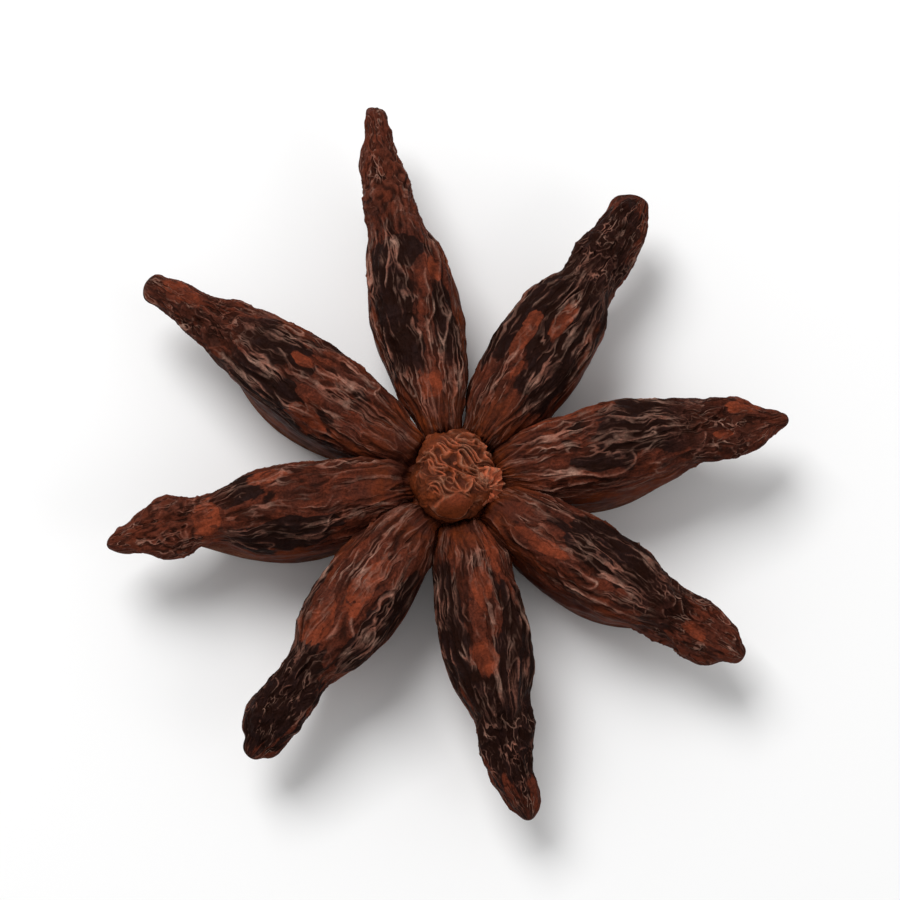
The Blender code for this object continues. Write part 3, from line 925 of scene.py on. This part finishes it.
def noise(tree, place, scale, detail, roughness=0.5, distortion=0.0, output="Fac"):
    """A noise texture's value or colour, as a socket."""
    values = {"Vector": place, "Scale": scale, "Detail": detail, "Roughness": roughness,
              "Distortion": distortion}
    return add_node(tree, "ShaderNodeTexNoise", values).outputs[output]


def mask_socket(tree, name, strength=1.0):
    """One of the mesh's masks, times a strength, as a socket."""
    mask = add_node(tree, "ShaderNodeAttribute", {}, attribute_name=name).outputs["Fac"]
    return mask if strength == 1.0 else times(tree, mask, strength)


def grain_place(tree):
    """Each point's place along and across the skin, as a socket."""
    return add_node(tree, "ShaderNodeAttribute", {}, attribute_name="grain").outputs["Vector"]


def new_group(name, inputs, outputs):
    """An empty shader node group with its sockets: the group, its inputs by name, and its output node."""
    group = bpy.data.node_groups.new(name, "ShaderNodeTree")
    for socket, value in inputs.items():
        kind = "NodeSocketColor" if value is None else "NodeSocketFloat"
        made = group.interface.new_socket(name=socket, in_out="INPUT", socket_type=kind)
        if value is not None:
            made.default_value = value
    for socket in outputs:
        kind = "NodeSocketColor" if socket == "Color" else "NodeSocketFloat"
        group.interface.new_socket(name=socket, in_out="OUTPUT", socket_type=kind)
    return group, group.nodes.new("NodeGroupInput").outputs, group.nodes.new("NodeGroupOutput")


def mottle_group():
    """Two tones of one skin in soft blots, with fine specks that darken and lighten it."""
    inputs = {"Tone": None, "Second Tone": None, "Blot Scale": 600.0, "Speck Scale": 6000.0, "Speckle": 0.35}
    group, given, result = new_group("Mottled Skin", inputs, ("Color",))
    place = add_node(group, "ShaderNodeTexCoord", {}).outputs["Object"]
    blot = remapped(group, noise(group, place, given["Blot Scale"], 4.0, 0.6), 0.38, 0.64)
    toned = mixed(group, blot, given["Tone"], given["Second Tone"])
    low = reckoned(group, "SUBTRACT", 1.0, given["Speckle"])
    high = reckoned(group, "ADD", 1.0, given["Speckle"])
    specks = noise(group, place, given["Speck Scale"], 2.0, 0.7)
    light = remapped(group, specks, 0.3, 0.7, low, high, "LINEAR")
    feed_all(group, result, {"Color": mixed(group, 1.0, toned, light, "MULTIPLY")})
    return group


def grain_group():
    """Fine tooth for a dry skin: height for a bump, and a roughness that changes with it."""
    inputs = {"Scale": 5000.0, "Roughness Low": 0.45, "Roughness High": 0.75}
    group, given, result = new_group("Dry Grain", inputs, ("Height", "Roughness"))
    place = add_node(group, "ShaderNodeTexCoord", {}).outputs["Object"]
    height = noise(group, place, given["Scale"], 5.0, 0.65)
    broad = noise(group, place, times(group, given["Scale"], 0.25), 2.0)
    rough = remapped(group, broad, 0.3, 0.7, given["Roughness Low"], given["Roughness High"], "LINEAR")
    feed_all(group, result, {"Height": height, "Roughness": rough})
    return group


def wrinkle_group():
    """Thin broken lines that run along the grain: the crest, a band of painted shadow on one side of it, and
    a height.

    The lines are where noise stretched along the grain crosses its middle value. The noise over its
    slope across the grain is the distance to the line in millimetres, so a line keeps its width.
    """
    inputs = {"Length": 4.0, "Spacing": 0.42, "Wander": 0.4, "Width": 0.08}
    group, given, result = new_group("Broken Wrinkles", inputs, ("Crest", "Shade Band", "Height"))
    place = grain_place(group)
    drift = noise(group, place, 0.5, 2.0, 0.6, output="Color")
    centred = reckoned_vector(group, "SUBTRACT", drift, (0.5, 0.5, 0.5))
    scaled = {0: centred, "Scale": given["Wander"]}
    push = add_node(group, "ShaderNodeVectorMath", scaled, operation="SCALE").outputs["Vector"]
    wandering = reckoned_vector(group, "ADD", place, push)
    beside = reckoned_vector(group, "ADD", wandering, (0.0, PROBE, 0.0))
    sizes = {"X": given["Length"], "Y": given["Spacing"], "Z": 1.0}
    size = add_node(group, "ShaderNodeCombineXYZ", sizes).outputs["Vector"]
    stretched = reckoned_vector(group, "DIVIDE", wandering, size)
    stretched_beside = reckoned_vector(group, "DIVIDE", beside, size)
    least_slope = reckoned(group, "DIVIDE", LEAST_SLOPE, given["Spacing"])
    edge = times(group, given["Width"], 0.3)
    starts, full, fades, ends = (times(group, given["Width"], -share) for share in (0.6, 1.4, 2.4, 4.5))
    lines, shade_bands = [], []
    for scale, strength in ((1.0, 1.0), (1.7, 0.6)):
        here = noise(group, stretched, scale, 1.0)
        there = noise(group, stretched_beside, scale, 1.0)
        slope = reckoned(group, "ABSOLUTE", reckoned(group, "SUBTRACT", there, here))
        slope = reckoned(group, "MAXIMUM", slope, least_slope)
        offset = reckoned(group, "SUBTRACT", here, 0.5)
        distance = times(group, reckoned(group, "DIVIDE", offset, slope), PROBE)
        away = reckoned(group, "ABSOLUTE", distance)
        lines.append(remapped(group, away, given["Width"], edge, 0.0, strength))
        # shade is a band of painted shadow on one side of each line.
        shade = remapped(group, distance, starts, full, 0.0, strength)
        shade_bands.append(times(group, shade, remapped(group, distance, ends, fades)))
    dashes = noise(group, stretched, 0.8, 3.0, 0.6, 0.3)
    line = times(group, reckoned(group, "MAXIMUM", *lines), remapped(group, dashes, 0.46, 0.64))
    kept = remapped(group, dashes, 0.35, 0.55, 0.2, 1.0)
    # The band of painted shadow, kept where the dashes run.
    painted_shade = times(group, reckoned(group, "MAXIMUM", *shade_bands), kept)
    height = reckoned(group, "SUBTRACT", line, times(group, painted_shade, 0.8))
    feed_all(group, result, {"Crest": line, "Shade Band": painted_shade, "Height": height})
    return group


def placed_group(tree, name, builder, values):
    """The outputs of a shared node group, which is built the first time it is asked for."""
    group = bpy.data.node_groups.get(name) or builder()
    return add_node(tree, "ShaderNodeGroup", values, node_tree=group).outputs


def mottled(tree, tone, second, blots=600.0, specks=6000.0, speckle=0.35):
    """A skin in two tones, as a colour socket."""
    values = {"Tone": tone, "Second Tone": second, "Blot Scale": blots, "Speck Scale": specks,
              "Speckle": speckle}
    return placed_group(tree, "Mottled Skin", mottle_group, values)["Color"]


def grained(tree, scale, low, high):
    """Height and roughness sockets of the grain group."""
    values = {"Scale": scale, "Roughness Low": low, "Roughness High": high}
    outputs = placed_group(tree, "Dry Grain", grain_group, values)
    return outputs["Height"], outputs["Roughness"]


def wrinkled(tree, length, spacing, wander, width):
    """Crest, hollow and height sockets of the wrinkle group. The sizes are in millimetres."""
    values = {"Length": length, "Spacing": spacing, "Wander": wander, "Width": width}
    outputs = placed_group(tree, "Broken Wrinkles", wrinkle_group, values)
    return outputs["Crest"], outputs["Shade Band"], outputs["Height"]


def frayed(tree, mask, depth, softness):
    """A mask whose soft edge is broken into streaks along the grain, as a socket."""
    stretched = reckoned_vector(tree, "MULTIPLY", grain_place(tree), (0.9, 3.2, 1.0))
    streaks = reckoned(tree, "SUBTRACT", noise(tree, stretched, 1.0, 5.0, 0.6), 0.5)
    edge = reckoned(tree, "MULTIPLY_ADD", streaks, depth * 2, mask_socket(tree, mask))
    return remapped(tree, edge, 0.54 - softness, 0.54 + softness)


def layered(tree, skin, layers):
    """A skin under mottled layers, each given as its share and then its tones, as a colour socket."""
    for share, *tones in layers:
        skin = mixed(tree, share, skin, mottled(tree, *tones))
    return skin


def new_material(name):
    """An empty material, its node tree and its Principled BSDF."""
    material = bpy.data.materials.new(name)
    material.use_nodes = True
    return material, material.node_tree, material.node_tree.nodes["Principled BSDF"]


def bumped(tree, height, depth):
    """A normal socket from a height. depth is in metres."""
    return add_node(tree, "ShaderNodeBump", {"Height": height, "Distance": depth}).outputs["Normal"]


def material_once(name, builder):
    """A material by name, built the first time it is asked for."""
    return bpy.data.materials.get(name) or builder(bpy.context.scene.pod_colours)


def husk_material(colours):
    """Bark, its crests (partly painted highlight), painted shade in its dips, its worn and burnt patches,
    the smooth flanks, the lips and the lining.
    """
    material, tree, surface = new_material("husk_skin")
    rubbed = times(tree, frayed(tree, "rubbed", 0.95, 0.09), 0.8)
    skin = mottled(tree, colours.bark, colours.ruddy, 700.0, 7000.0, 0.45)
    skin = layered(tree, skin, (
        # The burnt patches take the painted-shade colour as their second tone.
        (frayed(tree, "burnt", 0.75, 0.16), colours.burnt, colours.painted_shade, 900.0),
        (mask_socket(tree, "flank"), colours.flank, colours.root, 350.0, 5000.0, 0.15),
        (mask_socket(tree, "root"), colours.root, colours.bark, 500.0, 6000.0, 0.25),
        (mask_socket(tree, "beak", 0.7), colours.beak, colours.ruddy, 800.0),
        (rubbed, colours.rub, colours.ruddy, 900.0),
        # Paler crests: partly painted highlight.
        (mask_socket(tree, "crest", 0.80), colours.crest, colours.crest_pale, 900.0),
    ))
    # Painted shade in the dips of the relief.
    skin = mixed(tree, mask_socket(tree, "painted_shade", 0.80), skin, colours.painted_shade)

    lines = wrinkled(tree, 3.6, 0.36, 0.6, 0.048)
    knots = wrinkled(tree, 1.3, 0.65, 0.7, 0.05)
    knotted = mask_socket(tree, "knotted")
    crest, painted_shade, ridges = (blended(tree, knotted, line, knot) for line, knot in zip(lines, knots))
    gloss = reckoned(tree, "MAXIMUM", mask_socket(tree, "flank"), mask_socket(tree, "lining"))
    smooth = reckoned(tree, "MAXIMUM", gloss, mask_socket(tree, "root", 0.45))
    smooth = reckoned(tree, "MAXIMUM", smooth, times(tree, rubbed, 0.6))
    rough = reckoned(tree, "SUBTRACT", 1.0, smooth)
    # Painted shadow beside each fine wrinkle.
    skin = mixed(tree, times(tree, painted_shade, times(tree, rough, 0.75)), skin, colours.painted_shade)
    crest = times(tree, crest, times(tree, rough, mask_socket(tree, "lined")))
    skin = layered(tree, skin, (
        # Paler fine crests: partly painted highlight.
        (times(tree, crest, 0.85), colours.crest, colours.crest_pale, 900.0),
        (mask_socket(tree, "lip"), colours.lip, colours.ruddy, 900.0),
        (mask_socket(tree, "lining"), colours.lining, colours.rub, 250.0, 4000.0, 0.12),
    ))

    height, roughness = grained(tree, 6500.0, 0.52, 0.80)
    height = times(tree, height, remapped(tree, gloss, 0.0, 1.0, 0.5, 0.12))
    height = reckoned(tree, "ADD", height, times(tree, ridges, rough))
    feed_all(tree, surface, {
        "Base Color": skin,
        "Roughness": times(tree, roughness, remapped(tree, gloss, 0.0, 1.0, 1.0, 0.75)),
        "Normal": bumped(tree, height, HUSK_RELIEF),
        "Coat Weight": mask_socket(tree, "lining", 0.6),
        "Coat Roughness": 0.18,
        "Specular IOR Level": 0.03,
    })
    return material


def stub_material(colours):
    """The stub's brown skin, its smooth flap, painted shade in its dips, its ridges (partly painted
    highlight) and the torn fibres.
    """
    material, tree, surface = new_material("stub_skin")
    skin = layered(tree, mottled(tree, colours.stub, colours.root, 700.0, 6000.0, 0.25), (
        (mask_socket(tree, "flap", 0.6), colours.rub, colours.root, 500.0),
        # Painted shade in the stub's dips.
        (mask_socket(tree, "painted_shade", 0.75), colours.painted_shade, colours.bark, 900.0),
        (mask_socket(tree, "torn"), colours.torn, colours.rub, 1200.0, 6000.0, 0.25),
        # Paler ridges: partly painted highlight.
        (mask_socket(tree, "crest", 0.85), colours.stub_crest, colours.torn, 1500.0),
    ))
    height, roughness = grained(tree, 6500.0, 0.5, 0.8)
    feed_all(tree, surface, {
        "Base Color": skin,
        "Roughness": roughness,
        "Normal": bumped(tree, height, STUB_RELIEF),
        "Specular IOR Level": 0.06,
    })
    return material


def seed_material(colours):
    """The seed's glossy coat, a little paler on its edge and pale at its navel."""
    material, tree, surface = new_material("seed_coat")
    coat = mottled(tree, colours.seed, colours.seed_dark, 180.0, 2500.0, 0.06)
    coat = mixed(tree, mask_socket(tree, "edge", 0.2), coat, colours.lip)
    coat = mixed(tree, mask_socket(tree, "navel"), coat, colours.lip)
    feed_all(tree, surface, {
        "Base Color": coat, "Roughness": 0.22, "Coat Weight": 0.5, "Coat Roughness": 0.12,
    })
    return material


# ---- Operators ----


class POD_OT_follicles(bpy.types.Operator):
    """Build the eight follicles, each a closed shell with its slit and its chamber"""

    bl_idname = "pod.follicles"
    bl_label = "Follicles"

    def execute(self, context):
        shape = context.scene.pod_shape
        material = material_once("husk_skin", husk_material)
        for number, f in enumerate(FOLLICLES, 1):
            points, masks, grain = weathered_follicle(f, shape, 1000 * number)
            placed = turn_into_place(points, f.azimuth, shape)
            piece = ringed_mesh(f"follicle_{number}", placed, masks, grain)
            finish_piece(piece, material, "husk")
        return {"FINISHED"}


class POD_OT_column(bpy.types.Operator):
    """Build the column that the follicles are joined to"""

    bl_idname = "pod.column"
    bl_label = "Column"

    def execute(self, context):
        shape = context.scene.pod_shape
        points, masks = column_surface(shape)
        piece = ringed_mesh("column", points, masks)
        finish_piece(piece, material_once("husk_skin", husk_material), "husk")
        return {"FINISHED"}


class POD_OT_stub(bpy.types.Operator):
    """Build the stalk's wrinkled stub and its torn end"""

    bl_idname = "pod.stub"
    bl_label = "Stalk Stub"

    def execute(self, context):
        shape = context.scene.pod_shape
        material = material_once("stub_skin", stub_material)
        for name, builder in (("stub", stub_surface), ("stub_scar", scar_surface)):
            points, masks = builder(shape)
            finish_piece(ringed_mesh(name, points, masks), material, "husk")
        return {"FINISHED"}


class POD_OT_seeds(bpy.types.Operator):
    """Build the seeds that lie in the open follicles"""

    bl_idname = "pod.seeds"
    bl_label = "Seeds"

    def execute(self, context):
        shape = context.scene.pod_shape
        material = material_once("seed_coat", seed_material)
        for number, f in enumerate(FOLLICLES, 1):
            if not f.seed:
                continue
            points, masks = seed_surface(f, shape, 500 + number)
            piece = ringed_mesh(f"seed_coat_{number}", turn_into_place(points, f.azimuth, shape), masks)
            finish_piece(piece, material, f"seed_{number}")
        return {"FINISHED"}


# ---- Stage ----


def add_softbox(name, place, size, power, aim):
    """A square area light that faces a point."""
    light = bpy.data.lights.new(name, "AREA")
    light.shape = "SQUARE"
    light.size = size
    light.energy = power
    lamp = bpy.data.objects.new(name, light)
    lamp.location = place
    lamp.rotation_euler = (aim - place).to_track_quat("-Z", "Y").to_euler()
    bpy.context.scene.collection.objects.link(lamp)


class POD_OT_stage(bpy.types.Operator):
    """Build the pale floor, the soft lights and the camera"""

    bl_idname = "pod.stage"
    bl_label = "Stage"

    def execute(self, context):
        scene = context.scene
        stage = scene.pod_stage
        low, high = Vector(CAD_LOW), Vector(CAD_HIGH)
        middle = (low + high) / 2
        span = max(high.x - low.x, high.y - low.y)

        half = FLOOR_HALF * span
        mesh = bpy.data.meshes.new("floor")
        mesh.from_pydata(
            [(-half, -half, 0), (half, -half, 0), (half, half, 0), (-half, half, 0)], [], [(0, 1, 2, 3)]
        )
        floor = bpy.data.objects.new("floor", mesh)
        scene.collection.objects.link(floor)
        material, tree, surface = new_material("floor_paint")
        feed_all(tree, surface, {"Base Color": stage.floor, "Roughness": 0.8, "Specular IOR Level": 0.2})
        mesh.materials.append(material)

        world = bpy.data.worlds.new("white_room")
        world.use_nodes = True
        sky = {"Color": (1.0, 1.0, 1.0, 1.0), "Strength": stage.sky}
        feed_all(world.node_tree, world.node_tree.nodes["Background"], sky)
        scene.world = world
        scene.view_settings.view_transform = "Standard"

        for name, place, size, power in (
            ("key_softbox", KEY_PLACE, KEY_SIZE, stage.key),
            ("side_softbox", SIDE_PLACE, SIDE_SIZE, stage.rim),
        ):
            add_softbox(name, Vector(place) * span, size * span, power, middle)

        camera = bpy.data.cameras.new("camera")
        camera.lens = stage.lens
        camera.clip_start = 0.001
        eye = bpy.data.objects.new("camera", camera)
        azimuth, elevation = stage.azimuth, stage.elevation
        look = Vector((math.sin(azimuth) * math.cos(elevation), math.cos(azimuth) * math.cos(elevation),
                       -math.sin(elevation)))
        distance = span / stage.fill_share * stage.lens / camera.sensor_width
        eye.location = middle - look * distance
        eye.rotation_euler = look.to_track_quat("-Z", "Y").to_euler()
        scene.collection.objects.link(eye)
        scene.camera = eye
        return {"FINISHED"}


class POD_PT_panel(bpy.types.Panel):
    """Lists the pod's pieces and its settings"""

    bl_label = "Star Anise Pod"
    bl_idname = "POD_PT_panel"
    bl_space_type = "VIEW_3D"
    bl_region_type = "UI"
    bl_category = "Star Anise"

    def draw(self, context):
        layout = self.layout
        for operator in OPERATORS:
            layout.operator(operator.bl_idname)
        for pointer in SETTINGS:
            settings = getattr(context.scene, pointer)
            box = layout.box()
            for name in settings.__annotations__:
                box.prop(settings, name)


SETTINGS = {"pod_shape": PodShape, "pod_colours": PodColours, "pod_stage": PodStage}
OPERATORS = (POD_OT_follicles, POD_OT_column, POD_OT_stub, POD_OT_seeds, POD_OT_stage)
CLASSES = (*SETTINGS.values(), *OPERATORS, POD_PT_panel)


def register():
    for made in CLASSES:
        bpy.utils.register_class(made)
    for pointer, settings in SETTINGS.items():
        setattr(bpy.types.Scene, pointer, PointerProperty(type=settings))


def unregister():
    for pointer in SETTINGS:
        delattr(bpy.types.Scene, pointer)
    for made in reversed(CLASSES):
        bpy.utils.unregister_class(made)


def main():
    """Registers the add-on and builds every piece."""
    register()
    bpy.ops.pod.follicles()
    bpy.ops.pod.column()
    bpy.ops.pod.stub()
    bpy.ops.pod.seeds()
    bpy.ops.pod.stage()


if __name__ == "__main__":
    main()
